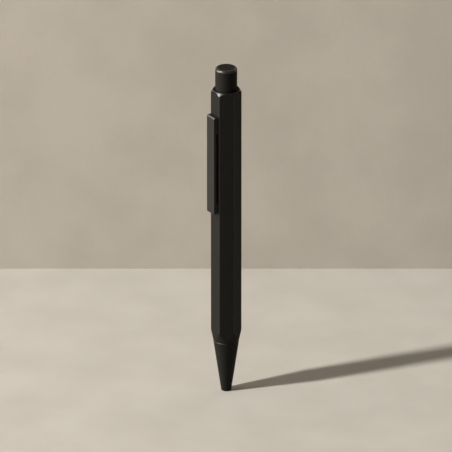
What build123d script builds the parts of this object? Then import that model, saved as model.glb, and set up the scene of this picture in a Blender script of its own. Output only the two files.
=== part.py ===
"""A push-button ballpoint pen with a hexagonal metal barrel, in millimetres.

The pen stands on its nose. The origin is the centre of the nose's end face, +Z runs up the
pen's axis, and the clip sits on the facet that faces -X. The button is out and the writing
tip is drawn in.
"""

import os
from math import cos, pi, radians, sin, tan

from build123d import *

# Driving dimensions
across_flats = 10.0
edge_radius = 0.9
nose_length = 20.4
button_rise = 8.5
click_stroke = 6.0
refill_length = 98.3
refill_diameter = 5.9
clip_length = 38.4
clip_width = 5.0

# Shared clearances and the overrun of every cut
running_clearance = 0.1
cam_clearance = 0.1
press_clearance = 0.02
end_room = 0.4
overrun = 1.0

# Refill: a metal ink tube with a stepped writing end
tip_recess = 1.5
tip_diameter = 2.3
tip_length = 11.0
tip_cone_length = 2.2
tip_shank_length = 2.5
tip_shank_wall = 0.25
tip_channel_radius = 0.25
ball_diameter = 1.0
ball_exposed = 0.25
ball_clearance = 0.02
ball_rim_wall = 0.08
neck_diameter = 3.2
neck_length = 11.0
nozzle_flange = 1.0
nozzle_insert = 3.5
tube_wall = 0.3
plug_head = 3.0
plug_insert = 4.0
plug_vent_radius = 0.5
plug_slot_width = 0.8
plug_slot_depth = 1.0
ink_fill_share = 0.82

tip_radius = tip_diameter / 2
ball_radius = ball_diameter / 2
neck_radius = neck_diameter / 2
refill_radius = refill_diameter / 2
tube_inner_radius = refill_radius - tube_wall
insert_radius = tube_inner_radius - press_clearance
shank_radius = tip_radius - tip_shank_wall
refill_top_z = tip_recess + refill_length
neck_z = tip_recess + tip_length
shoulder_z = neck_z + neck_length
tube_z = shoulder_z + nozzle_flange
tube_top_z = refill_top_z - plug_head
ball_z = tip_recess + ball_radius
ball_rim_z = tip_recess + ball_exposed
tip_cylinder_z = ball_rim_z + tip_cone_length

# Return spring: it sits in the nose and lifts the refill by its shoulder
spring_wire = 0.35
spring_turns = 10
spring_clearance = 0.15

spring_mean_radius = neck_radius + spring_clearance + spring_wire / 2
spring_bore_radius = spring_mean_radius + spring_wire / 2 + spring_clearance

# Nose cone: a tapered shell whose threaded spigot screws into the barrel
nose_wall = 0.55
nose_end_wall = 0.6
nose_end_round = 0.3
spigot_wall = 0.75
spigot_length = 6.0
spigot_lead = 0.3
thread_clearance = 0.05
seam_wall = 0.85
seam_break = 0.18

orifice_radius = tip_radius + running_clearance
nose_end_radius = orifice_radius + nose_end_wall
neck_bore_radius = neck_radius + spring_clearance
spigot_bore_radius = refill_radius + 2 * running_clearance
spigot_radius = spigot_bore_radius + spigot_wall
thread_bore_radius = spigot_radius + thread_clearance
seam_radius = thread_bore_radius + seam_wall
nose_slope = (seam_radius - nose_end_radius) / nose_length
neck_bore_z = (neck_bore_radius + nose_wall - nose_end_radius) / nose_slope
spring_seat_z = (spring_bore_radius + nose_wall - nose_end_radius) / nose_slope
spigot_bore_z = shoulder_z - click_stroke - end_room
spigot_top_z = nose_length + spigot_length

# Click mechanism: a grooved sleeve, a toothed thrust cam and a toothed rotor
mechanism_wall = 0.86
sleeve_wall = 0.6
land_height = 0.6
lip_thickness = 1.0
stem_step = 0.8
stem_insert = 8.0
pin_wall = 0.7
pin_length = 3.0
rotor_foot = 2.0
rotor_foot_step = 0.3
rotor_body = 3.0
rotor_rib_width = 0.8
rotor_turn = 22.5
thrust_body = 6.1
tooth_height = 0.9
cam_gap = 0.15
release_stroke = 5.0
latch_depth = 0.7
cam_count = 4
tooth_count = 2 * cam_count
groove_slack = 2.0

apothem = across_flats / 2
mechanism_bore_radius = apothem - mechanism_wall
sleeve_radius = mechanism_bore_radius - press_clearance
groove_radius = sleeve_radius - sleeve_wall
rib_radius = groove_radius - cam_clearance
land_radius = groove_radius - land_height
core_radius = land_radius - cam_clearance
stem_radius = core_radius - stem_step
pin_radius = stem_radius - pin_wall
tooth_half_width = rib_radius * sin(pi / tooth_count)
rib_half_angle = rotor_rib_width / 2 / core_radius * 180 / pi
groove_half_angle = rib_half_angle + rotor_turn / 2 + groove_slack

rib_z = refill_top_z + rotor_foot
rotor_ridge_z = rib_z + rotor_body
thrust_valley_z = rotor_ridge_z + tooth_height / 2 + cam_gap
thrust_ridge_z = thrust_valley_z - tooth_height
lip_z = thrust_ridge_z + thrust_body
sleeve_top_z = lip_z + lip_thickness
sleeve_z = rib_z - click_stroke - end_room
land_end_z = rotor_ridge_z - release_stroke
button_z = sleeve_top_z + end_room + click_stroke
pin_top_z = rotor_ridge_z + pin_length

# Push button and barrel: the taper and the chamfer are angles from the axis
button_guide = 2.5
button_edge = 0.85
button_foot_break = 0.2
mouth_break = 0.25
top_land_inset = 0.15
barrel_taper = 11.5
barrel_chamfer = 33.0
thread_room = 0.5
refill_room = 0.35

button_radius = mechanism_bore_radius - running_clearance
barrel_top_z = button_z + button_guide
button_top_z = barrel_top_z + button_rise
stem_top_z = button_z + stem_insert
refill_bore_radius = refill_radius + refill_room
thread_end_z = spigot_top_z + thread_room
corner_radius = apothem / cos(pi / 6)
top_land_radius = apothem - top_land_inset
chamfer_z = barrel_top_z - (corner_radius - top_land_radius) / tan(radians(barrel_chamfer))
taper_end_z = nose_length + (corner_radius - seam_radius) / tan(radians(barrel_taper))

# Clip: a flat spring arm on a root block whose tab keys into the barrel
clip_drop = 9.5
clip_thickness = 1.1
clip_gap = 0.75
clip_root = 6.5
clip_root_round = 0.5
clip_corner_round = 0.4
clip_edge_break = 0.2
clip_top_break = 0.45
foot_rise = 3.0
foot_length = 3.2
foot_clearance = 0.1
tab_width = 2.4
tab_height = 3.0
tab_drop = 2.0
tab_depth = 0.6
tab_clearance = 0.15

clip_top_z = barrel_top_z - clip_drop
clip_bottom_z = clip_top_z - clip_length
clip_root_z = clip_top_z - clip_root
clip_inner_x = -apothem - clip_gap
clip_outer_x = clip_inner_x - clip_thickness
foot_z = clip_bottom_z + foot_rise
foot_x = -apothem - foot_clearance
tab_z = clip_top_z - tab_drop - tab_height / 2


def turned(*points):
    """Return the face of a closed outline of (radius, height) points, ready to turn about Z."""
    with BuildSketch(Plane.XZ) as outline:
        with BuildLine():
            Polyline(*points, close=True)
        make_face()
    return outline.sketch


def sectors(radius, half_angle, height):
    """Return equal sectors of a circle at one height, one for each groove of the cam sleeve."""
    reach = radius / cos(radians(half_angle)) + overrun
    side = (reach * cos(radians(half_angle)), reach * sin(radians(half_angle)))
    with BuildSketch(Plane.XY.offset(height)) as pattern:
        with PolarLocations(0, cam_count):
            Polygon((0, 0), (side[0], -side[1]), (side[0], side[1]), align=None)
        Circle(radius, mode=Mode.INTERSECT)
    return pattern.sketch


def tooth_plane(angle, height):
    """Return the plane of a tooth gap: X runs round the pen, Y up and Z out from the axis."""
    out = (cos(radians(angle)), sin(radians(angle)), 0)
    around = (-sin(radians(angle)), cos(radians(angle)), 0)
    return Plane(origin=(0, 0, height), x_dir=around, z_dir=out)


def tooth_gap(angle, valley_z, rise):
    """Return a V-shaped tooth gap whose valley lies along one radius."""
    slope_run = tooth_half_width * (1 + overrun / tooth_height)
    top = rise * (tooth_height + overrun)
    with BuildSketch(tooth_plane(angle, valley_z)) as gap:
        Polygon((0, 0), (slope_run, top), (-slope_run, top), align=None)
    return gap.sketch


# Barrel: hexagonal bar, tapered at the seam, chamfered and bored at the top
with BuildPart() as barrel:
    with BuildSketch(Plane.XY.offset(nose_length)) as bar_section:
        RegularPolygon(apothem, 6, major_radius=False, rotation=30)
        fillet(bar_section.vertices(), edge_radius)
    extrude(amount=barrel_top_z - nose_length)
    revolve(
        turned(
            (0, nose_length),
            (seam_radius - seam_break, nose_length),
            (seam_radius, nose_length + seam_break),
            (corner_radius, taper_end_z),
            (corner_radius, chamfer_z),
            (top_land_radius, barrel_top_z),
            (0, barrel_top_z),
        ),
        axis=Axis.Z,
        mode=Mode.INTERSECT,
    )
    revolve(
        turned(
            (0, nose_length - overrun),
            (thread_bore_radius, nose_length - overrun),
            (thread_bore_radius, thread_end_z),
            (refill_bore_radius, thread_end_z),
            (refill_bore_radius, sleeve_z),
            (mechanism_bore_radius, sleeve_z),
            (mechanism_bore_radius, barrel_top_z - mouth_break),
            (mechanism_bore_radius + mouth_break, barrel_top_z),
            (mechanism_bore_radius + mouth_break, barrel_top_z + overrun),
            (0, barrel_top_z + overrun),
        ),
        axis=Axis.Z,
        mode=Mode.SUBTRACT,
    )
    with BuildSketch(Plane.YZ.offset(-apothem - overrun)) as slot:
        with Locations((0, tab_z)):
            Rectangle(tab_width + 2 * tab_clearance, tab_height + 2 * tab_clearance)
    extrude(amount=overrun + apothem - core_radius, mode=Mode.SUBTRACT)

# Nose cone: bored in steps for the tip, the neck, the spring and the ink tube
with BuildPart() as nose_cone:
    revolve(
        turned(
            (orifice_radius, 0),
            (nose_end_radius, 0),
            (seam_radius - seam_break * nose_slope, nose_length - seam_break),
            (seam_radius - seam_break, nose_length),
            (spigot_radius, nose_length),
            (spigot_radius, spigot_top_z - spigot_lead),
            (spigot_radius - spigot_lead, spigot_top_z),
            (spigot_bore_radius, spigot_top_z),
            (spigot_bore_radius, spigot_bore_z),
            (spring_bore_radius, spigot_bore_z),
            (spring_bore_radius, spring_seat_z),
            (neck_bore_radius, spring_seat_z),
            (neck_bore_radius, neck_bore_z),
            (orifice_radius, neck_bore_z),
        ),
        axis=Axis.Z,
    )
    end_face = nose_cone.faces().sort_by(Axis.Z)[0]
    fillet(end_face.edges().sort_by(SortBy.RADIUS)[-1], nose_end_round)

# Push button: a turned cap, rounded at its crown and bored for the thrust cam's stem
with BuildPart() as push_button:
    revolve(
        turned(
            (stem_radius + press_clearance, button_z),
            (button_radius - button_foot_break, button_z),
            (button_radius, button_z + button_foot_break),
            (button_radius, button_top_z),
            (0, button_top_z),
            (0, stem_top_z + press_clearance),
            (stem_radius + press_clearance, stem_top_z + press_clearance),
        ),
        axis=Axis.Z,
    )
    crown_face = push_button.faces().sort_by(Axis.Z)[-1]
    fillet(crown_face.edges(), button_edge)

# Clip: the arm and its root are cut from one bar, and a foot keeps what it grips
with BuildPart() as clip:
    with BuildSketch(Plane.XZ):
        with BuildLine():
            Polyline(
                (clip_inner_x, foot_z + foot_length / 2),
                (clip_inner_x, clip_root_z),
                (-apothem, clip_root_z),
                (-apothem, clip_top_z),
                (clip_outer_x, clip_top_z),
                (clip_outer_x, clip_bottom_z),
                (clip_inner_x, clip_bottom_z),
                (clip_inner_x, foot_z - foot_length / 2),
            )
            ThreePointArc(
                (clip_inner_x, foot_z - foot_length / 2),
                (foot_x, foot_z),
                (clip_inner_x, foot_z + foot_length / 2),
            )
        make_face()
    extrude(amount=clip_width / 2, both=True)
    arm_edges = clip.edges().filter_by(Axis.Y)
    root_corner = arm_edges.sort_by_distance((clip_inner_x, 0, clip_root_z))[0]
    fillet(root_corner, clip_root_round)
    end_edges = clip.edges().filter_by(Axis.X).group_by(Axis.Z)[0]
    fillet(end_edges, clip_corner_round)
    outer_face = clip.faces().sort_by(Axis.X)[0]
    top_edge = outer_face.edges().sort_by(Axis.Z)[-1]
    chamfer(top_edge, clip_top_break)
    outer_face = clip.faces().sort_by(Axis.X)[0]
    side_edges = outer_face.edges() - outer_face.edges().sort_by(Axis.Z)[-1:]
    chamfer(side_edges, clip_edge_break)
    with BuildSketch(Plane.YZ.offset(-apothem)):
        with Locations((0, tab_z)):
            Rectangle(tab_width, tab_height)
    extrude(amount=tab_depth)

# Cam sleeve: pressed against the bore's shoulder, with grooves that guide the cams
with BuildPart() as cam_sleeve:
    revolve(
        turned(
            (groove_radius, sleeve_z),
            (sleeve_radius, sleeve_z),
            (sleeve_radius, sleeve_top_z),
            (stem_radius + cam_clearance, sleeve_top_z),
            (stem_radius + cam_clearance, lip_z),
            (land_radius, lip_z),
            (land_radius, land_end_z),
            (groove_radius, land_end_z),
        ),
        axis=Axis.Z,
    )
    extrude(
        sectors(groove_radius, groove_half_angle, land_end_z),
        amount=lip_z - land_end_z,
        mode=Mode.SUBTRACT,
    )
    for index in range(cam_count):
        latch_angle = (index + 1 / 2) * 360 / cam_count
        extrude(
            tooth_gap(latch_angle, land_end_z + latch_depth, -1),
            amount=groove_radius,
            mode=Mode.SUBTRACT,
        )

# Thrust cam: its lugs run in the sleeve's grooves and its stem carries the button
with BuildPart() as thrust_cam:
    with BuildSketch(Plane.XY.offset(thrust_ridge_z)):
        Circle(core_radius)
    extrude(amount=lip_z - thrust_ridge_z)
    lug_half_angle = groove_half_angle - groove_slack
    extrude(sectors(rib_radius, lug_half_angle, thrust_ridge_z), amount=lip_z - thrust_ridge_z)
    for index in range(tooth_count):
        extrude(
            tooth_gap(index * 360 / tooth_count, thrust_valley_z, -1),
            amount=rib_radius + overrun,
            mode=Mode.SUBTRACT,
        )
    with BuildSketch(Plane.XY.offset(lip_z)):
        Circle(stem_radius)
    extrude(amount=stem_top_z - lip_z)
    with BuildSketch(Plane.XY.offset(thrust_ridge_z - overrun)):
        Circle(pin_radius + cam_clearance)
    extrude(amount=overrun + pin_top_z + end_room - thrust_ridge_z, mode=Mode.SUBTRACT)

# Rotor: its pointed ribs leave the grooves at the end of the stroke and turn one step
with BuildPart() as rotor:
    rotor_angle = -rotor_turn / 2
    with BuildSketch(Plane.XY.offset(rib_z)) as rib_section:
        with PolarLocations(0, cam_count, start_angle=rotor_angle):
            Rectangle(rib_radius + overrun, rotor_rib_width, align=(Align.MIN, Align.CENTER))
        Circle(core_radius)
        Circle(rib_radius, mode=Mode.INTERSECT)
    extrude(amount=rotor_ridge_z - rib_z)
    for index in range(tooth_count):
        gap_angle = rotor_angle + (index + 1 / 2) * 360 / tooth_count
        extrude(
            tooth_gap(gap_angle, rotor_ridge_z - tooth_height, 1),
            amount=rib_radius + overrun,
            mode=Mode.SUBTRACT,
        )
    with BuildSketch(Plane.XY.offset(refill_top_z)):
        Circle(core_radius - rotor_foot_step)
    extrude(amount=rib_z - refill_top_z)
    with BuildSketch(Plane.XY.offset(rib_z)):
        Circle(pin_radius)
    extrude(amount=pin_top_z - rib_z)

# Return spring: one open coil of round wire between the nose's seat and the refill's shoulder
with BuildPart() as return_spring:
    coil_height = shoulder_z - spring_seat_z - spring_wire - 2 * press_clearance
    with BuildLine() as coil:
        Helix(
            pitch=coil_height / spring_turns,
            height=coil_height,
            radius=spring_mean_radius,
            center=(0, 0, spring_seat_z + press_clearance + spring_wire / 2),
        )
    with BuildSketch(Plane(origin=coil.line @ 0, z_dir=coil.line % 0)):
        Circle(spring_wire / 2)
    sweep(path=coil.line, is_frenet=True)

# Refill nozzle: neck, shoulder and the insert that closes the tube's front
with BuildPart() as refill_nozzle:
    revolve(
        turned(
            (shank_radius + press_clearance, neck_z),
            (neck_radius, neck_z),
            (neck_radius, shoulder_z),
            (refill_radius, shoulder_z),
            (refill_radius, tube_z),
            (insert_radius, tube_z),
            (insert_radius, tube_z + nozzle_insert),
            (tip_channel_radius, tube_z + nozzle_insert),
            (tip_channel_radius, neck_z + tip_shank_length),
            (shank_radius + press_clearance, neck_z + tip_shank_length),
        ),
        axis=Axis.Z,
    )

# Refill tip: the cone that holds the ball, with a shank in the nozzle
with BuildPart() as refill_tip:
    revolve(
        turned(
            (tip_channel_radius, ball_rim_z),
            (ball_radius + ball_rim_wall, ball_rim_z),
            (tip_radius, tip_cylinder_z),
            (tip_radius, neck_z),
            (shank_radius, neck_z),
            (shank_radius, neck_z + tip_shank_length),
            (tip_channel_radius, neck_z + tip_shank_length),
        ),
        axis=Axis.Z,
    )
    with Locations((0, 0, ball_z)):
        Sphere(ball_radius + ball_clearance, mode=Mode.SUBTRACT)

# Writing ball
with BuildPart() as writing_ball:
    with Locations((0, 0, ball_z)):
        Sphere(ball_radius)

# Refill tube
with BuildPart() as refill_tube:
    with BuildSketch(Plane.XY.offset(tube_z)):
        Circle(refill_radius)
        Circle(tube_inner_radius, mode=Mode.SUBTRACT)
    extrude(amount=tube_top_z - tube_z)

# Refill end plug: vented and slotted across its head
with BuildPart() as refill_end_plug:
    revolve(
        turned(
            (plug_vent_radius, tube_top_z - plug_insert),
            (insert_radius, tube_top_z - plug_insert),
            (insert_radius, tube_top_z),
            (refill_radius, tube_top_z),
            (refill_radius, refill_top_z),
            (plug_vent_radius, refill_top_z),
        ),
        axis=Axis.Z,
    )
    with BuildSketch(Plane.XY.offset(refill_top_z - plug_slot_depth)):
        with PolarLocations(0, 2, angular_range=180):
            Rectangle(refill_diameter + overrun, plug_slot_width)
    extrude(amount=plug_slot_depth + overrun, mode=Mode.SUBTRACT)

# Ink column
with BuildPart() as ink_column:
    ink_z = tube_z + nozzle_insert
    ink_room = tube_top_z - plug_insert - ink_z
    with BuildSketch(Plane.XY.offset(ink_z)):
        Circle(insert_radius)
    extrude(amount=ink_fill_share * ink_room)

os.makedirs("parts", exist_ok=True)
pieces = {
    "barrel": barrel,
    "nose_cone": nose_cone,
    "push_button": push_button,
    "clip": clip,
    "cam_sleeve": cam_sleeve,
    "thrust_cam": thrust_cam,
    "rotor": rotor,
    "return_spring": return_spring,
    "refill_nozzle": refill_nozzle,
    "refill_tip": refill_tip,
    "writing_ball": writing_ball,
    "refill_tube": refill_tube,
    "refill_end_plug": refill_end_plug,
    "ink_column": ink_column,
}
for name, piece in pieces.items():
    piece.part.label = name
    export_step(piece.part, f"parts/{name}.step")
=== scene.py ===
"""Dresses a push-button ballpoint pen with a hexagonal matte-black barrel.

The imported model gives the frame: the pen stands on its nose, +Z runs up its axis and the clip
faces -X. The outer shells and the return spring are modelled here as finished pieces, drawn in
millimetres and brought to metres when they leave the bench. The pieces inside keep their solids.
Every surface has a finish of its own.
"""

import logging
import math
from abc import ABC, abstractmethod
from collections.abc import Callable, Iterable, Sequence
from dataclasses import dataclass, fields
from enum import Enum

import bmesh
import bpy
from bmesh.types import BMEdge, BMFace, BMVert
from mathutils import Matrix, Vector


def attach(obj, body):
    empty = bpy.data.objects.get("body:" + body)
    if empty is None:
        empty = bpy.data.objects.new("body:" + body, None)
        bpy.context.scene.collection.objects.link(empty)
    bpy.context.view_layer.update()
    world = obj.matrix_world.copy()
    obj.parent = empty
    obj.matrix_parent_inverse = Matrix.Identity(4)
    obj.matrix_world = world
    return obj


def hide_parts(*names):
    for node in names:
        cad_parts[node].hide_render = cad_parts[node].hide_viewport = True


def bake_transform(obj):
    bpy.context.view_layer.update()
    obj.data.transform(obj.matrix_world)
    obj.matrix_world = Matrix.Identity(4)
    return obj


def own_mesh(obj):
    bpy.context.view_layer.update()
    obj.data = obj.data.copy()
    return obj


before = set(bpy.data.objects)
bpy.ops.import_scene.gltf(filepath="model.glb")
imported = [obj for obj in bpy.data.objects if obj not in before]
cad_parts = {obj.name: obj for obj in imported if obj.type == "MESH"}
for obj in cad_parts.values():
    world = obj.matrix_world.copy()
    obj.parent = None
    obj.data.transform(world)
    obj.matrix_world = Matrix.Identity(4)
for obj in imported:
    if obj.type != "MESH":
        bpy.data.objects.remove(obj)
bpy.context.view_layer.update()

LOG = logging.getLogger("pen")
MM = 0.001
FULL_TURN = 2 * math.pi
SIDES = 6
HALF_FLAT = 180 / SIDES  # from the middle of a flat to its corner, in degrees
MERGE_GAP = 1e-4  # vertices this close are one, in millimetres
PLACE_GAP = 2e-3  # how near a vertex counts as being at a place, in millimetres
NOISE_MIDDLE = 0.5
WEAR_LEVEL = 0.7
WEAR_SPREAD = 0.6
FULL_SHINE = 1.0
CREASE = 40.0  # the angle from which an edge stays sharp, in degrees
BROKEN_EDGE = "broken_edge"
REACH = "reach"

Colour = tuple[float, float, float]
Point = tuple[float, float]


class Body(Enum):
    """The bodies that the new pieces ride on."""

    BARREL = "barrel"
    BUTTON = "button"
    CLIP = "clip"
    SPRING = "spring"
    NOSE = "nose"


class Slot(Enum):
    """The material slots that the new pieces are listed under."""

    BLACK_ANODISED = "black_anodised"
    BLACK_COATED_STEEL = "black_coated_steel"
    SPRING_STEEL = "spring_steel"


class Lay(Enum):
    """The way that tool marks run on a metal piece."""

    ALONG = "along the axis"
    AROUND = "around the axis"


class Wire:
    """A value that a material works out over a surface; its operators add Math nodes."""

    def __init__(self, graph: "Graph", socket: bpy.types.NodeSocket | None) -> None:
        """Hold an output socket and the graph that it belongs to."""
        self.graph = graph
        self.socket = socket

    def _math(self, operation: str, first: "Wire | float", second: "Wire | float") -> "Wire":
        """Add one Math node and return its result."""
        return self.graph.node("ShaderNodeMath", {"operation": operation}, {0: first, 1: second})

    def __add__(self, other: "Wire | float") -> "Wire":
        """Add a value."""
        return self._math("ADD", self, other)

    def __radd__(self, other: float) -> "Wire":
        """Add to a value."""
        return self._math("ADD", other, self)

    def __sub__(self, other: "Wire | float") -> "Wire":
        """Subtract a value."""
        return self._math("SUBTRACT", self, other)

    def __rsub__(self, other: float) -> "Wire":
        """Subtract from a value."""
        return self._math("SUBTRACT", other, self)

    def __mul__(self, other: "Wire | float") -> "Wire":
        """Multiply by a value."""
        return self._math("MULTIPLY", self, other)

    def __rmul__(self, other: float) -> "Wire":
        """Multiply a value."""
        return self._math("MULTIPLY", other, self)

    def swing(self, spread: float) -> "Wire":
        """Return a noise as a swing around 0 that spans a spread."""
        return spread * (self - NOISE_MIDDLE)


class Graph:
    """The node tree of one material."""

    def __init__(self, name: str) -> None:
        """Start an empty material.

        Args:
            name: The material's name.
        """
        self.material = bpy.data.materials.new(name)
        self.material.use_nodes = True
        self.tree = self.material.node_tree
        self.tree.nodes.clear()

    def node(
        self,
        kind: str,
        settings: dict[str, object] | None = None,
        sockets: dict[int | str, object] | None = None,
        output: int | str = 0,
    ) -> Wire:
        """Add one node.

        Args:
            kind: The node's type.
            settings: Its settings, which are set first.
            sockets: The values or links of its inputs; a colour is given without alpha.
            output: The output that is handed back.

        Returns:
            That output, or an empty wire from a node with no outputs.
        """
        made = self.tree.nodes.new(kind)
        for name, value in (settings or {}).items():
            setattr(made, name, value)
        for key, value in (sockets or {}).items():
            if isinstance(value, Wire):
                self.tree.links.new(value.socket, made.inputs[key])
            else:
                is_colour = made.inputs[key].type == "RGBA"
                made.inputs[key].default_value = (*value, 1.0) if is_colour else value
        return Wire(self, made.outputs[output] if made.outputs else None)

    def place(self, across: float, along: float) -> Wire:
        """Return the point's place on the pen, counted in the cells of a pattern.

        Args:
            across: The cell's size across the axis, in millimetres.
            along: The cell's size along the axis, in millimetres.

        Returns:
            The scaled place.
        """
        spot = self.node("ShaderNodeTexCoord", output="Object")
        scale = (1 / (across * MM), 1 / (across * MM), 1 / (along * MM))
        return self.node("ShaderNodeMapping", {}, {"Vector": spot, "Scale": scale})

    def cloud(self, across: float, along: float, detail: float = 2.0) -> Wire:
        """Return a cloudy value around one half, with its sizes in millimetres."""
        sockets = {"Vector": self.place(across, along), "Scale": 1.0, "Detail": detail}
        return self.node("ShaderNodeTexNoise", {"noise_dimensions": "3D"}, sockets)

    def ramp(self, value: Wire, low: float, high: float) -> Wire:
        """Return 0 below one value and 1 above another, with a soft step between."""
        settings = {"interpolation_type": "SMOOTHSTEP"}
        return self.node("ShaderNodeMapRange", settings, {0: value, 1: low, 2: high})

    def wear(self) -> Wire:
        """Read how far the surface is burnished and make it patchy.

        Returns:
            The wear, which is 0 on a plain face.
        """
        settings = {"attribute_type": "GEOMETRY", "attribute_name": BROKEN_EDGE}
        edge = self.node("ShaderNodeAttribute", settings, output="Fac")
        patches = self.cloud(across=1.4, along=2.2, detail=3.0)
        return edge * (WEAR_LEVEL + patches.swing(WEAR_SPREAD))

    def blend(self, share: Wire, first: Colour | Wire, second: Colour | Wire) -> Wire:
        """Mix two colours by the second colour's share."""
        sockets = {0: share, 6: first, 7: second}
        return self.node("ShaderNodeMix", {"data_type": "RGBA"}, sockets, output=2)

    def bump(self, height: Wire, depth: float) -> Wire:
        """Turn a height from 0 to 1 into a normal, with its depth in millimetres."""
        return self.node("ShaderNodeBump", {}, {"Distance": depth * MM, "Height": height})

    def principled(self, **sockets: object) -> Wire:
        """Return a principled shader, from sockets with underscores for spaces."""
        named = {name.replace("_", " "): value for name, value in sockets.items()}
        return self.node("ShaderNodeBsdfPrincipled", {}, named)

    def close(self, shader: Wire) -> bpy.types.Material:
        """Send a shader to the material's output and return the material."""
        self.node("ShaderNodeOutputMaterial", {}, {"Surface": shader})
        return self.material


class Finish(ABC):
    """A surface finish that can be made into a material; its sizes are in millimetres."""

    name: str

    @abstractmethod
    def shader(self, graph: Graph) -> Wire:
        """Draw the finish in a node tree and return its shader."""

    def material(self) -> bpy.types.Material:
        """Return the finish as a material."""
        graph = Graph(self.name)
        return graph.close(self.shader(graph))


@dataclass(frozen=True)
class BlackAnodise(Finish):
    """Bead-blasted aluminium, anodised matte black and faintly burnished at its edges."""

    name: str
    dark: Colour = (0.0088, 0.0083, 0.0074)
    light: Colour = (0.0123, 0.0115, 0.0103)
    burnish: Colour = (0.011, 0.0105, 0.0097)
    roughness: float = 0.6
    specular: float = 0.1
    burnish_roughness: float = 0.4
    burnish_ior: float = 1.7
    grain: float = 0.09
    depth: float = 0.0015

    def shader(self, graph: Graph) -> Wire:
        """Draw the blasted grain, the uneven black and the burnished edges.

        Args:
            graph: The node tree to draw in.

        Returns:
            The shader.
        """
        grain = graph.cloud(self.grain, self.grain)
        mottle = graph.cloud(across=2.5, along=4.0, detail=3.0)
        wear = graph.wear()
        colour = graph.blend(mottle, self.dark, self.light)
        return graph.principled(
            Base_Color=graph.blend(wear, colour, self.burnish),
            Roughness=self.roughness + mottle.swing(0.1) + grain.swing(0.08),
            Specular_IOR_Level=self.specular,
            Coat_Weight=wear,
            Coat_Roughness=self.burnish_roughness,
            Coat_IOR=self.burnish_ior,
            Normal=graph.bump(grain, self.depth),
        )


@dataclass(frozen=True)
class BlackCoat(Finish):
    """Spring steel with a thin matte-black coat, rubbed on its edges and faintly scuffed; on the fully
    burnished brow the lighter rubbed colour is a painted highlight.
    """

    name: str
    dark: Colour = (0.0106, 0.0101, 0.0090)
    light: Colour = (0.0145, 0.0137, 0.0125)
    # lighter than the coat: edge wear, and a painted highlight where an edge is fully burnished
    rubbed: Colour = (0.10, 0.098, 0.093)
    roughness: float = 0.52
    specular: float = 0.2
    rubbed_roughness: float = 0.42
    scuff_polish: float = 0.05
    grain: float = 0.11
    depth: float = 0.0016

    def shader(self, graph: Graph) -> Wire:
        """Draw the coat's grain, its scuffs along the arm and its rubbed edges, whose lighter colour
        on the fully burnished brow is a painted highlight.

        Args:
            graph: The node tree to draw in.

        Returns:
            The shader.
        """
        grain = graph.cloud(self.grain, self.grain)
        mottle = graph.cloud(across=1.8, along=5.0, detail=3.0)
        scuff = graph.ramp(graph.cloud(across=0.25, along=9.0), low=0.58, high=0.8)
        wear = graph.wear()
        colour = graph.blend(mottle, self.dark, self.light)
        return graph.principled(
            # the lighter rubbed colour is edge wear, and on the fully burnished brow a painted
            # highlight
            Base_Color=graph.blend(wear, colour, self.rubbed),
            Roughness=self.roughness + mottle.swing(0.1) - self.scuff_polish * scuff,
            Specular_IOR_Level=self.specular,
            Coat_Weight=wear,
            Coat_Roughness=self.rubbed_roughness,
            Normal=graph.bump(grain, self.depth),
        )


@dataclass(frozen=True)
class Moulded(Finish):
    """Moulded plastic with a fine spark texture and faint flow marks."""

    name: str
    colour: Colour
    flow: Colour
    roughness: float = 0.42
    texture: float = 0.12
    depth: float = 0.002

    def shader(self, graph: Graph) -> Wire:
        """Draw the spark texture and the flow marks.

        Args:
            graph: The node tree to draw in.

        Returns:
            The shader.
        """
        texture = graph.cloud(self.texture, self.texture)
        flow = graph.cloud(across=0.8, along=3.0, detail=3.0)
        return graph.principled(
            Base_Color=graph.blend(graph.ramp(flow, low=0.35, high=0.7), self.colour, self.flow),
            Roughness=self.roughness + flow.swing(0.16) + texture.swing(0.1),
            Normal=graph.bump(texture, self.depth),
        )


@dataclass(frozen=True)
class BareMetal(Finish):
    """Bare metal with the fine marks of the die or the lathe and a little tarnish."""

    name: str
    bright: Colour
    tarnish: Colour
    lay: Lay
    roughness: float = 0.24
    mark: float = 0.03
    mark_stretch: float = 60.0
    stain_dulling: float = 0.14
    depth: float = 0.0012

    def shader(self, graph: Graph) -> Wire:
        """Draw the tool marks along their lay and the tarnish.

        Args:
            graph: The node tree to draw in.

        Returns:
            The shader.
        """
        long = self.mark_stretch * self.mark
        across, along = (self.mark, long) if self.lay is Lay.ALONG else (long, self.mark)
        marks = graph.cloud(across, along, detail=1.0)
        stain = graph.ramp(graph.cloud(across=0.9, along=1.6, detail=3.0), low=0.42, high=0.75)
        return graph.principled(
            Base_Color=graph.blend(stain, self.bright, self.tarnish),
            Metallic=1.0,
            Roughness=self.roughness + marks.swing(0.22) + self.stain_dulling * stain,
            Normal=graph.bump(marks, self.depth),
        )


@dataclass(frozen=True)
class WetInk(Finish):
    """Thick black ink with a slow swirl."""

    name: str
    dark: Colour = (0.006, 0.006, 0.009)
    light: Colour = (0.016, 0.016, 0.024)
    roughness: float = 0.08
    swirl_dulling: float = 0.1
    depth: float = 0.01

    def shader(self, graph: Graph) -> Wire:
        """Draw the swirl.

        Args:
            graph: The node tree to draw in.

        Returns:
            The shader.
        """
        swirl = graph.cloud(across=1.2, along=4.0, detail=3.0)
        return graph.principled(
            Base_Color=graph.blend(swirl, self.dark, self.light),
            Roughness=self.roughness + self.swirl_dulling * swirl,
            Normal=graph.bump(swirl, self.depth),
        )


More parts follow.
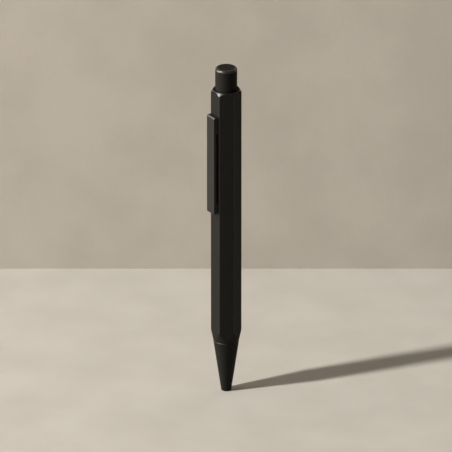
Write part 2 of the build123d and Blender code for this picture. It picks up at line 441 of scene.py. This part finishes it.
@dataclass(frozen=True)
class Plaster(Finish):
    """The pale trowelled surface of the studio, clear when it is seen from behind."""

    name: str
    pale: Colour = (0.575, 0.55, 0.507)
    shade: Colour = (0.53, 0.505, 0.463)
    roughness: float = 0.82
    patch: float = 28.0
    grit: float = 0.8
    depth: float = 0.04

    def shader(self, graph: Graph) -> Wire:
        """Draw the trowelled patches and the grit, without any glare.

        Args:
            graph: The node tree to draw in.

        Returns:
            The shader.
        """
        patches = graph.cloud(self.patch, self.patch, detail=5.0)
        grit = graph.cloud(self.grit, self.grit, detail=3.0)
        front = graph.principled(
            Base_Color=graph.blend(graph.ramp(patches, low=0.3, high=0.7), self.shade, self.pale),
            Roughness=self.roughness + grit.swing(0.1),
            Specular_IOR_Level=0.0,
            Normal=graph.bump(grit, self.depth),
        )
        clear = graph.node("ShaderNodeBsdfTransparent")
        behind = graph.node("ShaderNodeNewGeometry", output="Backfacing")
        return graph.node("ShaderNodeMixShader", {}, {0: behind, 1: front, 2: clear})


WHITE_ACETAL = Moulded("cam_white_acetal", (0.80, 0.80, 0.77), (0.74, 0.74, 0.70))


class Workpiece:
    """A mesh on the bench, in millimetres."""

    def __init__(self) -> None:
        """Start an empty mesh that can mark its broken edges."""
        self.mesh = bmesh.new()
        self.broken = self.mesh.faces.layers.float.new(BROKEN_EDGE)

    def outline(self, points: Sequence[Point], closed: bool) -> list[BMVert]:
        """Draw straight runs in the plane of X and Z.

        Args:
            points: The corners, as pairs of X and Z.
            closed: Whether a last run goes back to the first corner.

        Returns:
            The corners.
        """
        corners = [self.mesh.verts.new((x, 0.0, z)) for x, z in points]
        followers = corners[1:] + corners[:1] if closed else corners[1:]
        for corner, follower in zip(corners, followers):
            self.mesh.edges.new((corner, follower))
        return corners

    def turn(self, steps: int) -> None:
        """Turn everything drawn so far once round the axis.

        Args:
            steps: How many flats the round is made of.
        """
        bmesh.ops.spin(
            self.mesh,
            geom=self.mesh.verts[:] + self.mesh.edges[:],
            cent=(0, 0, 0),
            axis=(0, 0, 1),
            angle=FULL_TURN,
            steps=steps,
            use_merge=True,
        )
        self.weld()

    def weld(self) -> None:
        """Merge doubled vertices and point every face outwards."""
        bmesh.ops.remove_doubles(self.mesh, verts=self.mesh.verts[:], dist=MERGE_GAP)
        bmesh.ops.recalc_face_normals(self.mesh, faces=self.mesh.faces[:])

    def edges_where(self, test: Callable[[Vector], bool]) -> list[BMEdge]:
        """Return the edges whose ends both pass a test of their place."""
        return [edge for edge in self.mesh.edges if all(test(vert.co) for vert in edge.verts)]

    def ring(self, radius: float, height: float) -> list[BMEdge]:
        """Return the edges of a circle round the axis.

        Args:
            radius: The circle's radius.
            height: The circle's height.

        Returns:
            The edges.
        """

        def on_circle(place: Vector) -> bool:
            """Tell whether a place is on the circle."""
            return abs(place.xy.length - radius) < PLACE_GAP and abs(place.z - height) < PLACE_GAP

        return self.edges_where(on_circle)

    def break_edges(
        self, edges: Iterable[BMEdge], width: float, segments: int = 2, shine: float = 0.05
    ) -> None:
        """Round edges off and mark how far the new faces are burnished.

        Args:
            edges: The edges.
            width: How far the round reaches into the faces beside an edge.
            segments: How many faces make the round.
            shine: How burnished the round is, from 0 to 1.
        """
        made = bmesh.ops.bevel(
            self.mesh,
            geom=list(edges),
            offset=width,
            offset_type="OFFSET",
            affect="EDGES",
            segments=segments,
            profile=0.5,
            material=-1,
            clamp_overlap=True,
        )
        for face in made["faces"]:
            face[self.broken] = shine

    def burnish(self, test: Callable[[BMFace], bool], shine: float) -> None:
        """Mark faces as burnished.

        Args:
            test: The test that picks the faces.
            shine: How burnished they are, from 0 to 1.
        """
        for face in self.mesh.faces:
            if test(face):
                face[self.broken] = shine

    def round_corners(self, corners: Iterable[BMVert], width: float, segments: int) -> None:
        """Round the corners of an outline.

        Args:
            corners: The corners.
            width: How far the round reaches along the runs beside a corner.
            segments: How many runs make the round.
        """
        bmesh.ops.bevel(
            self.mesh,
            geom=list(corners),
            offset=width,
            offset_type="OFFSET",
            affect="VERTICES",
            segments=segments,
            profile=0.5,
            material=-1,
        )

    def slice(self, faces: Sequence[BMFace], place: Vector, across: Vector) -> None:
        """Cut faces with a plane and keep both sides.

        Args:
            faces: The faces to cut.
            place: A point on the plane.
            across: The plane's normal.
        """
        edges = {edge for face in faces for edge in face.edges}
        verts = {vert for face in faces for vert in face.verts}
        bmesh.ops.bisect_plane(
            self.mesh,
            geom=[*faces, *edges, *verts],
            dist=MERGE_GAP,
            plane_co=place,
            plane_no=across,
        )

    def patch(self, wall: float, half_width: float, low: float, high: float) -> list[BMFace]:
        """Mark out a rectangle on a wall that faces along X.

        Args:
            wall: The wall's X.
            half_width: Half of the rectangle's width.
            low: Its lower edge.
            high: Its upper edge.

        Returns:
            The faces inside the rectangle.
        """

        def faces(inside: Callable[[Vector], bool]) -> list[BMFace]:
            """Find faces of the wall.

            Args:
                inside: The test of a face's middle.

            Returns:
                The faces that pass.
            """
            return [
                face
                for face in self.mesh.faces
                if all(abs(vert.co.x - wall) < PLACE_GAP for vert in face.verts)
                and inside(face.calc_center_median())
            ]

        def between(middle: Vector) -> bool:
            """Tell whether a place lies between the rectangle's lower and upper edges."""
            return low < middle.z < high

        for height in (low, high):
            self.slice(faces(lambda middle: True), Vector((wall, 0, height)), Vector((0, 0, 1)))
        for side in (-half_width, half_width):
            self.slice(faces(between), Vector((wall, side, 0)), Vector((0, 1, 0)))
        return faces(lambda middle: between(middle) and abs(middle.y) < half_width)

    def push(self, faces: Sequence[BMFace], step: Vector) -> None:
        """Push faces in or pull them out, with walls between.

        Args:
            faces: The faces.
            step: How far they go.
        """
        made = bmesh.ops.extrude_face_region(self.mesh, geom=list(faces))["geom"]
        moved = [part for part in made if isinstance(part, BMVert)]
        bmesh.ops.translate(self.mesh, verts=moved, vec=step)
        left = [face for face in faces if face.is_valid]
        bmesh.ops.delete(self.mesh, geom=left, context="FACES")

    def release(self, name: str) -> bpy.types.Object:
        """Take the mesh off the bench as a smooth-shaded object in metres.

        Args:
            name: The piece's name.

        Returns:
            The piece.
        """
        self.weld()
        bmesh.ops.scale(self.mesh, vec=(MM, MM, MM), verts=self.mesh.verts[:])
        data = bpy.data.meshes.new(name)
        self.mesh.to_mesh(data)
        self.mesh.free()
        data.shade_smooth()
        data.set_sharp_from_angle(angle=math.radians(CREASE))
        piece = bpy.data.objects.new(name, data)
        bpy.context.scene.collection.objects.link(piece)
        clean = piece.modifiers.new("clean_facets", "WEIGHTED_NORMAL")
        clean.keep_sharp = True
        return piece


@dataclass
class SubAssembly(ABC):
    """A piece of the pen that is modelled here in place of its solid."""

    name: str
    node: str
    body: Body
    slot: Slot
    finish: Finish

    @abstractmethod
    def shape(self) -> Workpiece:
        """Return the piece's mesh."""

    def build(self) -> bpy.types.Object:
        """Make the piece, dress it and hang it on its body.

        Returns:
            The piece.
        """
        piece = self.shape().release(self.name)
        self.dress(piece)
        self.hang(piece)
        return piece

    def dress(self, piece: bpy.types.Object) -> None:
        """Give the piece its finish and hide the solid that it stands for.

        Args:
            piece: The piece.
        """
        piece.data.materials.append(self.finish.material())
        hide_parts(self.node)

    def hang(self, piece: bpy.types.Object) -> None:
        """Let the piece ride on its body."""
        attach(piece, self.body.value)


@dataclass
class HexBarrel(SubAssembly):
    """The hexagonal tube, tapered at the seam, chamfered and bored at the top."""

    name: str = "barrel_shell"
    node: str = "barrel"
    body: Body = Body.BARREL
    slot: Slot = Slot.BLACK_ANODISED
    finish: Finish = BlackAnodise("barrel_black_anodise")
    bottom: float = 20.4
    top: float = 120.5
    apothem: float = 5.0
    corner_radius: float = 0.9
    corner_segments: int = 8
    flat_cuts: int = 15
    seam_radius: float = 4.8
    seam_break: float = 0.18
    taper_slope: float = 4.7303
    land_radius: float = 4.85
    chamfer_slope: float = 1.5399
    mouth_break: float = 0.25
    mechanism_bore: float = 4.14
    mechanism_bottom: float = 95.4
    refill_bore: float = 3.3
    thread_bore: float = 3.95
    thread_top: float = 26.9
    arris: float = 0.07
    arris_angle: float = 8.0
    bore_margin: float = 0.1
    chamfer_reach: float = 2.0
    chamfer_tilt: float = 0.2
    upright_tilt: float = 0.01
    corner_from: float = 26.0
    corner_shine: float = 0.3
    slot_half_width: float = 1.35
    slot_low: float = 105.85
    slot_high: float = 109.15
    slot_depth: float = 0.7

    def section(self, work: Workpiece) -> list[BMEdge]:
        """Draw the hexagon with rounded corners.

        Args:
            work: The bench to draw on.

        Returns:
            The closed ring of edges.
        """
        half = math.radians(HALF_FLAT)
        corner = self.apothem / math.cos(half)
        made = bmesh.ops.create_circle(work.mesh, cap_ends=True, radius=corner, segments=SIDES)
        width = self.corner_radius * math.tan(half)
        work.round_corners(made["verts"], width, self.corner_segments)
        bmesh.ops.delete(work.mesh, geom=work.mesh.faces[:], context="FACES_ONLY")
        flats = [edge for edge in work.mesh.edges if edge.calc_length() > self.apothem / 2]
        bmesh.ops.subdivide_edges(work.mesh, edges=flats, cuts=self.flat_cuts)
        return work.mesh.edges[:]

    def wall(self, reach: float) -> list[Point]:
        """Follow the wall up the outside and down the bore, at one place of the section.

        Args:
            reach: How far the section reaches from the axis at that place.

        Returns:
            The radius and the height of each ring.
        """
        seam_top = self.bottom + self.seam_break
        return [
            (self.seam_radius - self.seam_break, self.bottom),
            (self.seam_radius, seam_top),
            (reach, seam_top + (reach - self.seam_radius) * self.taper_slope),
            (reach, self.top - (reach - self.land_radius) * self.chamfer_slope),
            (self.land_radius, self.top),
            (self.mechanism_bore + self.mouth_break, self.top),
            (self.mechanism_bore, self.top - self.mouth_break),
            (self.mechanism_bore, self.mechanism_bottom),
            (self.refill_bore, self.mechanism_bottom),
            (self.refill_bore, self.thread_top),
            (self.thread_bore, self.thread_top),
            (self.thread_bore, self.bottom),
        ]

    def shape(self) -> Workpiece:
        """Draw the section and carry it up the outside and down the bore.

        Returns:
            The barrel's mesh.
        """
        work = Workpiece()
        reach = work.mesh.verts.layers.float.new(REACH)
        first = ring = self.section(work)
        for vert in work.mesh.verts:
            vert[reach] = vert.co.xy.length
        for number in range(len(self.wall(self.apothem))):
            if number:
                made = bmesh.ops.extrude_edge_only(work.mesh, edges=ring)["geom"]
                ring = [part for part in made if isinstance(part, BMEdge)]
            for vert in {vert for edge in ring for vert in edge.verts}:
                radius, height = self.wall(vert[reach])[number]
                vert.co = (*(vert.co.xy.normalized() * radius), height)
        bmesh.ops.bridge_loops(work.mesh, edges=first + ring)
        work.weld()
        work.burnish(self.on_chamfer, FULL_SHINE)
        work.burnish(self.on_corner, self.corner_shine)
        self.soften(work)
        self.cut_slot(work)
        return work

    def on_chamfer(self, face: BMFace) -> bool:
        """Tell whether a face is on the top chamfer.

        Args:
            face: The face.

        Returns:
            Whether it slants, near the top and outside the land.
        """
        middle = face.calc_center_median()
        near_top = middle.z > self.top - self.chamfer_reach
        return near_top and middle.xy.length > self.land_radius and face.normal.z > self.chamfer_tilt

    def on_corner(self, face: BMFace) -> bool:
        """Tell whether a face is on a rounded corner of the hexagon.

        Args:
            face: The face.

        Returns:
            Whether it is upright, outside and well off the middle of a flat.
        """
        middle = face.calc_center_median()
        turned = math.degrees(math.atan2(middle.y, middle.x)) + HALF_FLAT
        off_flat = abs(turned % (2 * HALF_FLAT) - HALF_FLAT)
        upright = abs(face.normal.z) < self.upright_tilt
        return upright and middle.xy.length > self.apothem and off_flat > self.corner_from

    def soften(self, work: Workpiece) -> None:
        """Break the arrises of the taper, the chamfer, the land and the mouth.

        Args:
            work: The bench that the barrel is on.
        """
        sharp = [
            edge
            for edge in work.mesh.edges
            if len(edge.link_faces) == 2
            and edge.calc_face_angle() > math.radians(self.arris_angle)
            and all(vert.co.xy.length > self.mechanism_bore + self.bore_margin for vert in edge.verts)
            and abs(edge.verts[0].co.z - edge.verts[1].co.z) < self.apothem
        ]
        work.break_edges(sharp, self.arris)

    def cut_slot(self, work: Workpiece) -> None:
        """Sink the slot that takes the clip's tab."""
        faces = work.patch(-self.apothem, self.slot_half_width, self.slot_low, self.slot_high)
        work.push(faces, Vector((self.slot_depth, 0, 0)))


@dataclass
class NoseCone(SubAssembly):
    """The turned nose, stepped inside for the refill, with a threaded spigot."""

    name: str = "nose_shell"
    node: str = "nose_cone"
    body: Body = Body.NOSE
    slot: Slot = Slot.BLACK_ANODISED
    finish: Finish = BlackAnodise("nose_black_anodise")
    steps: int = 96
    end_radius: float = 1.85
    end_round: float = 0.26
    end_segments: int = 6
    orifice: float = 1.25
    orifice_break: float = 0.08
    rim_break: float = 0.04
    neck_bore: float = 1.75
    neck_bore_bottom: float = 3.1119
    spring_bore: float = 2.25
    spring_seat: float = 6.5695
    refill_bore: float = 3.15
    refill_bore_bottom: float = 17.1
    seam: float = 20.4
    seam_radius: float = 4.8
    seam_break: float = 0.18
    spigot_radius: float = 3.9
    spigot_top: float = 26.4
    spigot_lead: float = 0.3
    thread_pitch: float = 0.75
    thread_depth: float = 0.38
    thread_relief: float = 0.35
    thread_flat: float = 0.15
    thread_rows: int = 72

    def shape(self) -> Workpiece:
        """Turn the nose, cut its thread and break its edges.

        Returns:
            The nose's mesh.
        """
        work = Workpiece()
        slope = (self.seam_radius - self.end_radius) / self.seam
        rim = self.seam_radius - self.seam_break
        lead_z = self.spigot_top - self.spigot_lead
        points = [
            (self.orifice, 0.0),
            (self.end_radius, 0.0),
            (self.seam_radius - self.seam_break * slope, self.seam - self.seam_break),
            (rim, self.seam),
            (self.spigot_radius, self.seam),
            (self.spigot_radius, lead_z),
            (self.spigot_radius - self.spigot_lead, self.spigot_top),
            (self.refill_bore, self.spigot_top),
            (self.refill_bore, self.refill_bore_bottom),
            (self.spring_bore, self.refill_bore_bottom),
            (self.spring_bore, self.spring_seat),
            (self.neck_bore, self.spring_seat),
            (self.neck_bore, self.neck_bore_bottom),
            (self.orifice, self.neck_bore_bottom),
        ]
        work.outline(points, closed=True)
        work.turn(self.steps)
        self.cut_thread(work, lead_z)
        work.burnish(self.on_rim, FULL_SHINE)
        work.break_edges(work.ring(self.end_radius, 0.0), self.end_round, self.end_segments)
        work.break_edges(work.ring(self.orifice, 0.0), self.orifice_break)
        work.break_edges(work.ring(rim, self.seam), self.rim_break)
        return work

    def on_rim(self, face: BMFace) -> bool:
        """Tell whether a face is on the broken rim at the seam.

        Args:
            face: The face.

        Returns:
            Whether it is outside, just below the seam.
        """
        middle = face.calc_center_median()
        outside = middle.xy.length > self.seam_radius - self.seam_break
        return outside and self.seam - self.seam_break < middle.z < self.seam

    def cut_thread(self, work: Workpiece, end: float) -> None:
        """Cut a right-hand thread into the spigot.

        Args:
            work: The bench that the nose is on.
            end: The height where the thread runs out.
        """

        def on_spigot(place: Vector) -> bool:
            """Tell whether a place is on the spigot's wall."""
            return abs(place.xy.length - self.spigot_radius) < PLACE_GAP

        walls = [
            edge
            for edge in work.edges_where(on_spigot)
            if abs(edge.verts[0].co.z - edge.verts[1].co.z) > PLACE_GAP
        ]
        made = bmesh.ops.subdivide_edges(work.mesh, edges=walls, cuts=self.thread_rows)
        for vert in {part for part in made["geom_inner"] if isinstance(part, BMVert)}:
            turn = math.atan2(vert.co.y, vert.co.x) / FULL_TURN
            phase = (vert.co.z - self.seam) / self.thread_pitch - turn
            flank = abs(2 * (phase % 1) - 1)
            groove = min(max((flank - self.thread_flat) / (1 - 2 * self.thread_flat), 0.0), 1.0)
            run_out = min((end - vert.co.z) / self.thread_pitch, 1.0)
            if vert.co.z < self.seam + self.thread_relief:
                groove = 1.0
            radius = self.spigot_radius - self.thread_depth * groove * max(run_out, 0.0)
            vert.co.xy = vert.co.xy.normalized() * radius


@dataclass
class PushButton(SubAssembly):
    """The turned button cap with its rounded crown."""

    name: str = "button_cap"
    node: str = "push_button"
    body: Body = Body.BUTTON
    slot: Slot = Slot.BLACK_ANODISED
    finish: Finish = BlackAnodise(
        "button_black_anodise",
        dark=(0.0118, 0.0111, 0.0099),
        light=(0.0157, 0.0147, 0.0131),
        specular=0.07,
        burnish_roughness=0.38,
        burnish_ior=1.95,
    )
    steps: int = 96
    radius: float = 4.04
    bottom: float = 118.0
    top: float = 129.0
    crown_round: float = 0.85
    crown_segments: int = 10
    foot_break: float = 0.2
    foot_segments: int = 3
    socket_radius: float = 2.04
    socket_top: float = 126.02
    face_ring: float = 2.2

    def shape(self) -> Workpiece:
        """Turn the cap and round its crown and its foot.

        Returns:
            The button's mesh.
        """
        work = Workpiece()
        points = [
            (0.0, self.top),
            (self.face_ring, self.top),
            (self.radius, self.top),
            (self.radius, self.bottom),
            (self.socket_radius, self.bottom),
            (self.socket_radius, self.socket_top),
            (0.0, self.socket_top),
        ]
        work.outline(points, closed=False)
        work.turn(self.steps)
        crown = work.ring(self.radius, self.top)
        work.break_edges(crown, self.crown_round, self.crown_segments, FULL_SHINE)
        work.break_edges(work.ring(self.radius, self.bottom), self.foot_break, self.foot_segments)
        return work


@dataclass
class PocketClip(SubAssembly):
    """The flat spring arm with its root block, foot and tab."""

    name: str = "clip_arm"
    node: str = "clip"
    body: Body = Body.CLIP
    slot: Slot = Slot.BLACK_COATED_STEEL
    finish: Finish = BlackCoat("clip_black_coat")
    half_width: float = 2.5
    facet: float = -5.0
    inner: float = -5.75
    outer: float = -6.85
    bottom: float = 72.6
    root_bottom: float = 104.5
    top: float = 111.0
    root_round: float = 0.5
    root_segments: int = 6
    foot: float = 75.6
    foot_half_length: float = 1.6
    foot_peak: float = 1.557
    foot_run: float = 2.18
    foot_segments: int = 14
    corner_round: float = 0.4
    corner_segments: int = 10
    top_break: float = 0.45
    edge_break: float = 0.2
    edge_angle: float = 50.0
    small_break: float = 0.06
    small_angle: float = 60.0
    tab_half_width: float = 1.2
    tab_low: float = 106.0
    tab_high: float = 109.0
    tab_depth: float = 0.6
    slice_gap: float = 1.5
    slice_margin: float = 1.0
    bend_end: float = 88.0

    def shape(self) -> Workpiece:
        """Draw the clip's side, give it its width and break its edges.

        Returns:
            The clip's mesh.
        """
        work = Workpiece()
        points = [
            (self.inner, self.foot + self.foot_half_length),
            (self.inner, self.root_bottom),
            (self.facet, self.root_bottom),
            (self.facet, self.top),
            (self.outer, self.top),
            (self.outer, self.bottom),
            (self.inner, self.bottom),
            (self.inner, self.foot - self.foot_half_length),
            (self.inner + self.foot_peak, self.foot),
        ]
        _, under_root, *_, foot_peak = work.outline(points, closed=True)
        bmesh.ops.contextual_create(work.mesh, geom=work.mesh.edges[:])
        work.round_corners([foot_peak], self.foot_run, self.foot_segments)
        work.round_corners([under_root], self.root_round, self.root_segments)
        bmesh.ops.translate(work.mesh, verts=work.mesh.verts[:], vec=(0, -self.half_width, 0))
        work.push(work.mesh.faces[:], Vector((0, 2 * self.half_width, 0)))
        bmesh.ops.holes_fill(work.mesh, edges=work.mesh.edges[:])
        work.weld()
        self.break_all(work)
        tab = work.patch(self.facet, self.tab_half_width, self.tab_low, self.tab_high)
        work.push(tab, Vector((self.tab_depth, 0, 0)))
        self.divide(work)
        return work

    def break_all(self, work: Workpiece) -> None:
        """Round the lower corners, chamfer the outer face and break the other edges.

        Args:
            work: The bench that the clip is on.
        """
        half = (self.inner - self.outer) / 2
        ends = work.edges_where(lambda place: abs(place.z - self.bottom) < PLACE_GAP)
        corners = [edge for edge in ends if abs(edge.verts[0].co.x - edge.verts[1].co.x) > half]
        work.break_edges(corners, self.corner_round, self.corner_segments)
        brow = work.edges_where(
            lambda place: place.z > self.top - PLACE_GAP and place.x < self.outer + PLACE_GAP
        )
        # full shine on the brow paints a highlight along it in the coat's lighter rubbed colour
        work.break_edges(brow, self.top_break, 1, FULL_SHINE)
        brow_z = self.top - self.top_break / 2
        face = work.edges_where(
            lambda place: place.x < self.outer + PLACE_GAP and place.z < brow_z
        )
        steep = math.radians(self.edge_angle)
        work.break_edges([edge for edge in face if edge.calc_face_angle() > steep], self.edge_break)
        sharp = math.radians(self.small_angle)
        rest = [edge for edge in work.mesh.edges if edge.calc_face_angle(0) > sharp]
        work.break_edges(rest, self.small_break)

    def divide(self, work: Workpiece) -> None:
        """Slice the arm across, so that it can bend.

        Args:
            work: The bench that the clip is on.
        """
        height = self.bottom + 2 * self.corner_round
        while height < self.top - self.slice_margin:
            work.slice(work.mesh.faces[:], Vector((0, 0, height)), Vector((0, 0, 1)))
            height += self.slice_gap

    def hang(self, piece: bpy.types.Object) -> None:
        """Bake the clip's placement into its mesh.

        Args:
            piece: The clip.
        """
        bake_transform(piece)


@dataclass
class ReturnSpring(SubAssembly):
    """The coil in the nose, with a closed turn at each end."""

    name: str = "return_coil"
    node: str = "return_spring"
    body: Body = Body.SPRING
    slot: Slot = Slot.SPRING_STEEL
    finish: Finish = BareMetal(
        "spring_drawn_wire", (0.60, 0.60, 0.62), (0.42, 0.42, 0.43), Lay.AROUND, roughness=0.28
    )
    wire: float = 0.35
    mean_radius: float = 1.925
    seat: float = 6.5695
    shoulder: float = 23.5
    end_room: float = 0.02
    turns: int = 10
    closed_pitch: float = 0.37
    turn_steps: int = 36
    wire_sides: int = 12
    stroke: float = 6.0

    def shape(self) -> Workpiece:
        """Wind the wire up from its seat and close its ends.

        Returns:
            The coil's mesh.
        """
        work = Workpiece()
        start = self.seat + self.end_room + self.wire / 2
        height = self.shoulder - self.seat - self.wire - 2 * self.end_room
        upright = Matrix.Rotation(math.pi / 2, 4, "X")
        place = Matrix.Translation((self.mean_radius, 0, start)) @ upright
        bmesh.ops.create_circle(
            work.mesh, cap_ends=False, radius=self.wire / 2, segments=self.wire_sides, matrix=place
        )
        last = work.mesh.verts[:] + work.mesh.edges[:]
        open_turns = self.turns - 2
        open_pitch = (height - 2 * self.closed_pitch) / open_turns
        for turns, pitch in ((1, self.closed_pitch), (open_turns, open_pitch), (1, self.closed_pitch)):
            made = bmesh.ops.spin(
                work.mesh,
                geom=last,
                cent=(0, 0, 0),
                axis=(0, 0, 1),
                dvec=(0, 0, pitch / self.turn_steps),
                angle=FULL_TURN * turns,
                steps=self.turn_steps * turns,
            )
            last = made["geom_last"]
        rims = [edge for edge in work.mesh.edges if edge.is_boundary]
        bmesh.ops.holes_fill(work.mesh, edges=rims)
        return work

    def hang(self, piece: bpy.types.Object) -> None:
        """Let the coil ride on its body and give it a mesh of its own.

        Args:
            piece: The coil.
        """
        super().hang(piece)
        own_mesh(piece)


@dataclass
class InnerWorks:
    """The refill and the click mechanism: the solids that stay, each with its finish."""

    cam_sleeve: Finish = Moulded("sleeve_black_acetal", (0.045, 0.045, 0.046), (0.06, 0.06, 0.06))
    thrust_cam: Finish = WHITE_ACETAL
    rotor: Finish = WHITE_ACETAL
    refill_end_plug: Finish = Moulded("plug_grey_plastic", (0.2, 0.21, 0.23), (0.24, 0.25, 0.27))
    refill_nozzle: Finish = BareMetal(
        "nozzle_brass", (0.72, 0.55, 0.26), (0.5, 0.36, 0.16), Lay.AROUND
    )
    refill_tip: Finish = BareMetal(
        "tip_nickel", (0.68, 0.66, 0.60), (0.5, 0.48, 0.43), Lay.AROUND, roughness=0.2
    )
    refill_tube: Finish = BareMetal(
        "tube_steel", (0.62, 0.62, 0.63), (0.45, 0.45, 0.46), Lay.ALONG, roughness=0.26
    )
    writing_ball: Finish = BareMetal(
        "ball_polished", (0.7, 0.7, 0.72), (0.6, 0.6, 0.62), Lay.AROUND, roughness=0.14
    )
    ink_column: Finish = WetInk("ink_black")

    def dress(self) -> None:
        """Give every solid that stays its finish."""
        made: dict[Finish, bpy.types.Material] = {}
        for part in fields(self):
            finish = getattr(self, part.name)
            if finish not in made:
                made[finish] = finish.material()
            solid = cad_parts[part.name]
            solid.data.materials.clear()
            solid.data.materials.append(made[finish])
            LOG.info("%s keeps its solid in %s", part.name, made[finish].name)


@dataclass(frozen=True)
class Lamp:
    """A soft lamp that points at the pen, in metres, degrees and watts."""

    name: str
    azimuth: float
    elevation: float
    distance: float
    width: float
    height: float
    power: float
    colour: Colour = (1.0, 0.965, 0.91)
    shines: bool = True

    def hang(self, target: Vector) -> None:
        """Put the lamp into the scene.

        Args:
            target: The place that the lamp points at.
        """
        turn = math.radians(self.azimuth)
        lift = math.radians(self.elevation)
        level = math.cos(lift)
        way = Vector((math.cos(turn) * level, math.sin(turn) * level, math.sin(lift)))
        data = bpy.data.lights.new(self.name, "AREA")
        data.shape = "ELLIPSE"
        data.size = self.width
        data.size_y = self.height
        data.energy = self.power
        data.color = self.colour
        lamp = bpy.data.objects.new(self.name, data)
        lamp.location = target + way * self.distance
        lamp.rotation_euler = way.to_track_quat("Z", "Y").to_euler()
        lamp.visible_glossy = self.shines
        bpy.context.scene.collection.objects.link(lamp)


@dataclass
class Studio:
    """The floor, the wall behind the pen, the lights and the camera, in metres and degrees."""

    azimuth: float = -32.0
    elevation: float = 23.5
    distance: float = 4.62
    lens: float = 1002.0
    target: tuple[float, float, float] = (-0.00006, 0.00004, 0.0658)
    half_side: float = 3.0
    wall_back: float = 0.111
    key: Lamp = Lamp(
        "key_light", azimuth=170.0, elevation=35.0, distance=3.0, width=0.22, height=0.22, power=116.0
    )
    strip: Lamp = Lamp(
        "strip_light", azimuth=152.0, elevation=2.0, distance=2.0, width=0.7, height=0.2, power=32.0
    )
    back: Lamp = Lamp(
        "back_light",
        azimuth=20.0,
        elevation=3.0,
        distance=3.0,
        width=1.0,
        height=0.2,
        power=24.0,
        shines=False,
    )
    world: Colour = (0.006, 0.0058, 0.0054)
    floor: Finish = Plaster("floor_plaster")
    wall: Finish = Plaster("wall_plaster", (0.56, 0.52, 0.463), (0.51, 0.473, 0.419))

    def ahead(self) -> Vector:
        """Return the level direction in which the camera looks."""
        turn = math.radians(self.azimuth)
        return Vector((-math.sin(turn), math.cos(turn), 0))

    def build(self) -> None:
        """Set up the studio."""
        self.room()
        self.light()
        self.shoot()

    def room(self) -> None:
        """Lay the floor and stand the wall behind the pen, where it shades nothing."""
        self.stand("studio_floor", Matrix.Identity(4), self.floor)
        upright = Matrix.Rotation(math.pi / 2, 4, "X")
        turned = Matrix.Rotation(math.radians(self.azimuth), 4, "Z")
        spot = self.ahead() * self.wall_back + Vector((0, 0, self.half_side))
        wall = self.stand("studio_wall", Matrix.Translation(spot) @ turned @ upright, self.wall)
        wall.visible_shadow = False

    def stand(self, name: str, place: Matrix, finish: Finish) -> bpy.types.Object:
        """Put a square of the room into the scene.

        Args:
            name: The object's name.
            place: Where the square goes from the level at the origin.
            finish: Its finish.

        Returns:
            The object.
        """
        mesh = bmesh.new()
        bmesh.ops.create_grid(mesh, x_segments=1, y_segments=1, size=self.half_side, matrix=place)
        data = bpy.data.meshes.new(name)
        mesh.to_mesh(data)
        mesh.free()
        data.materials.append(finish.material())
        part = bpy.data.objects.new(name, data)
        bpy.context.scene.collection.objects.link(part)
        return part

    def light(self) -> None:
        """Hang the lamps and set the soft light all round."""
        scene = bpy.context.scene
        for lamp in (self.key, self.strip, self.back):
            lamp.hang(Vector(self.target))
        world = bpy.data.worlds.new("studio_air")
        world.use_nodes = True
        air = world.node_tree.nodes["Background"]
        air.inputs["Color"].default_value = (*self.world, 1.0)
        scene.world = world
        scene.view_settings.view_transform = "Standard"

    def shoot(self) -> None:
        """Place the camera at the photograph's angle."""
        lift = math.radians(self.elevation)
        back = -self.ahead() * math.cos(lift) + Vector((0, 0, math.sin(lift)))
        lens = bpy.data.cameras.new("photo_camera")
        lens.lens = self.lens
        camera = bpy.data.objects.new("photo_camera", lens)
        camera.location = Vector(self.target) + back * self.distance
        camera.rotation_euler = back.to_track_quat("Z", "Y").to_euler()
        bpy.context.scene.collection.objects.link(camera)
        bpy.context.scene.camera = camera


def main() -> None:
    """Build the pen and the studio."""
    logging.basicConfig(level=logging.INFO, format="%(message)s")
    for assembly in (HexBarrel(), NoseCone(), PushButton(), PocketClip(), ReturnSpring()):
        piece = assembly.build()
        LOG.info("%s stands for %s with %d faces", piece.name, assembly.node, len(piece.data.polygons))
    InnerWorks().dress()
    Studio().build()


if __name__ == "__main__":
    main()
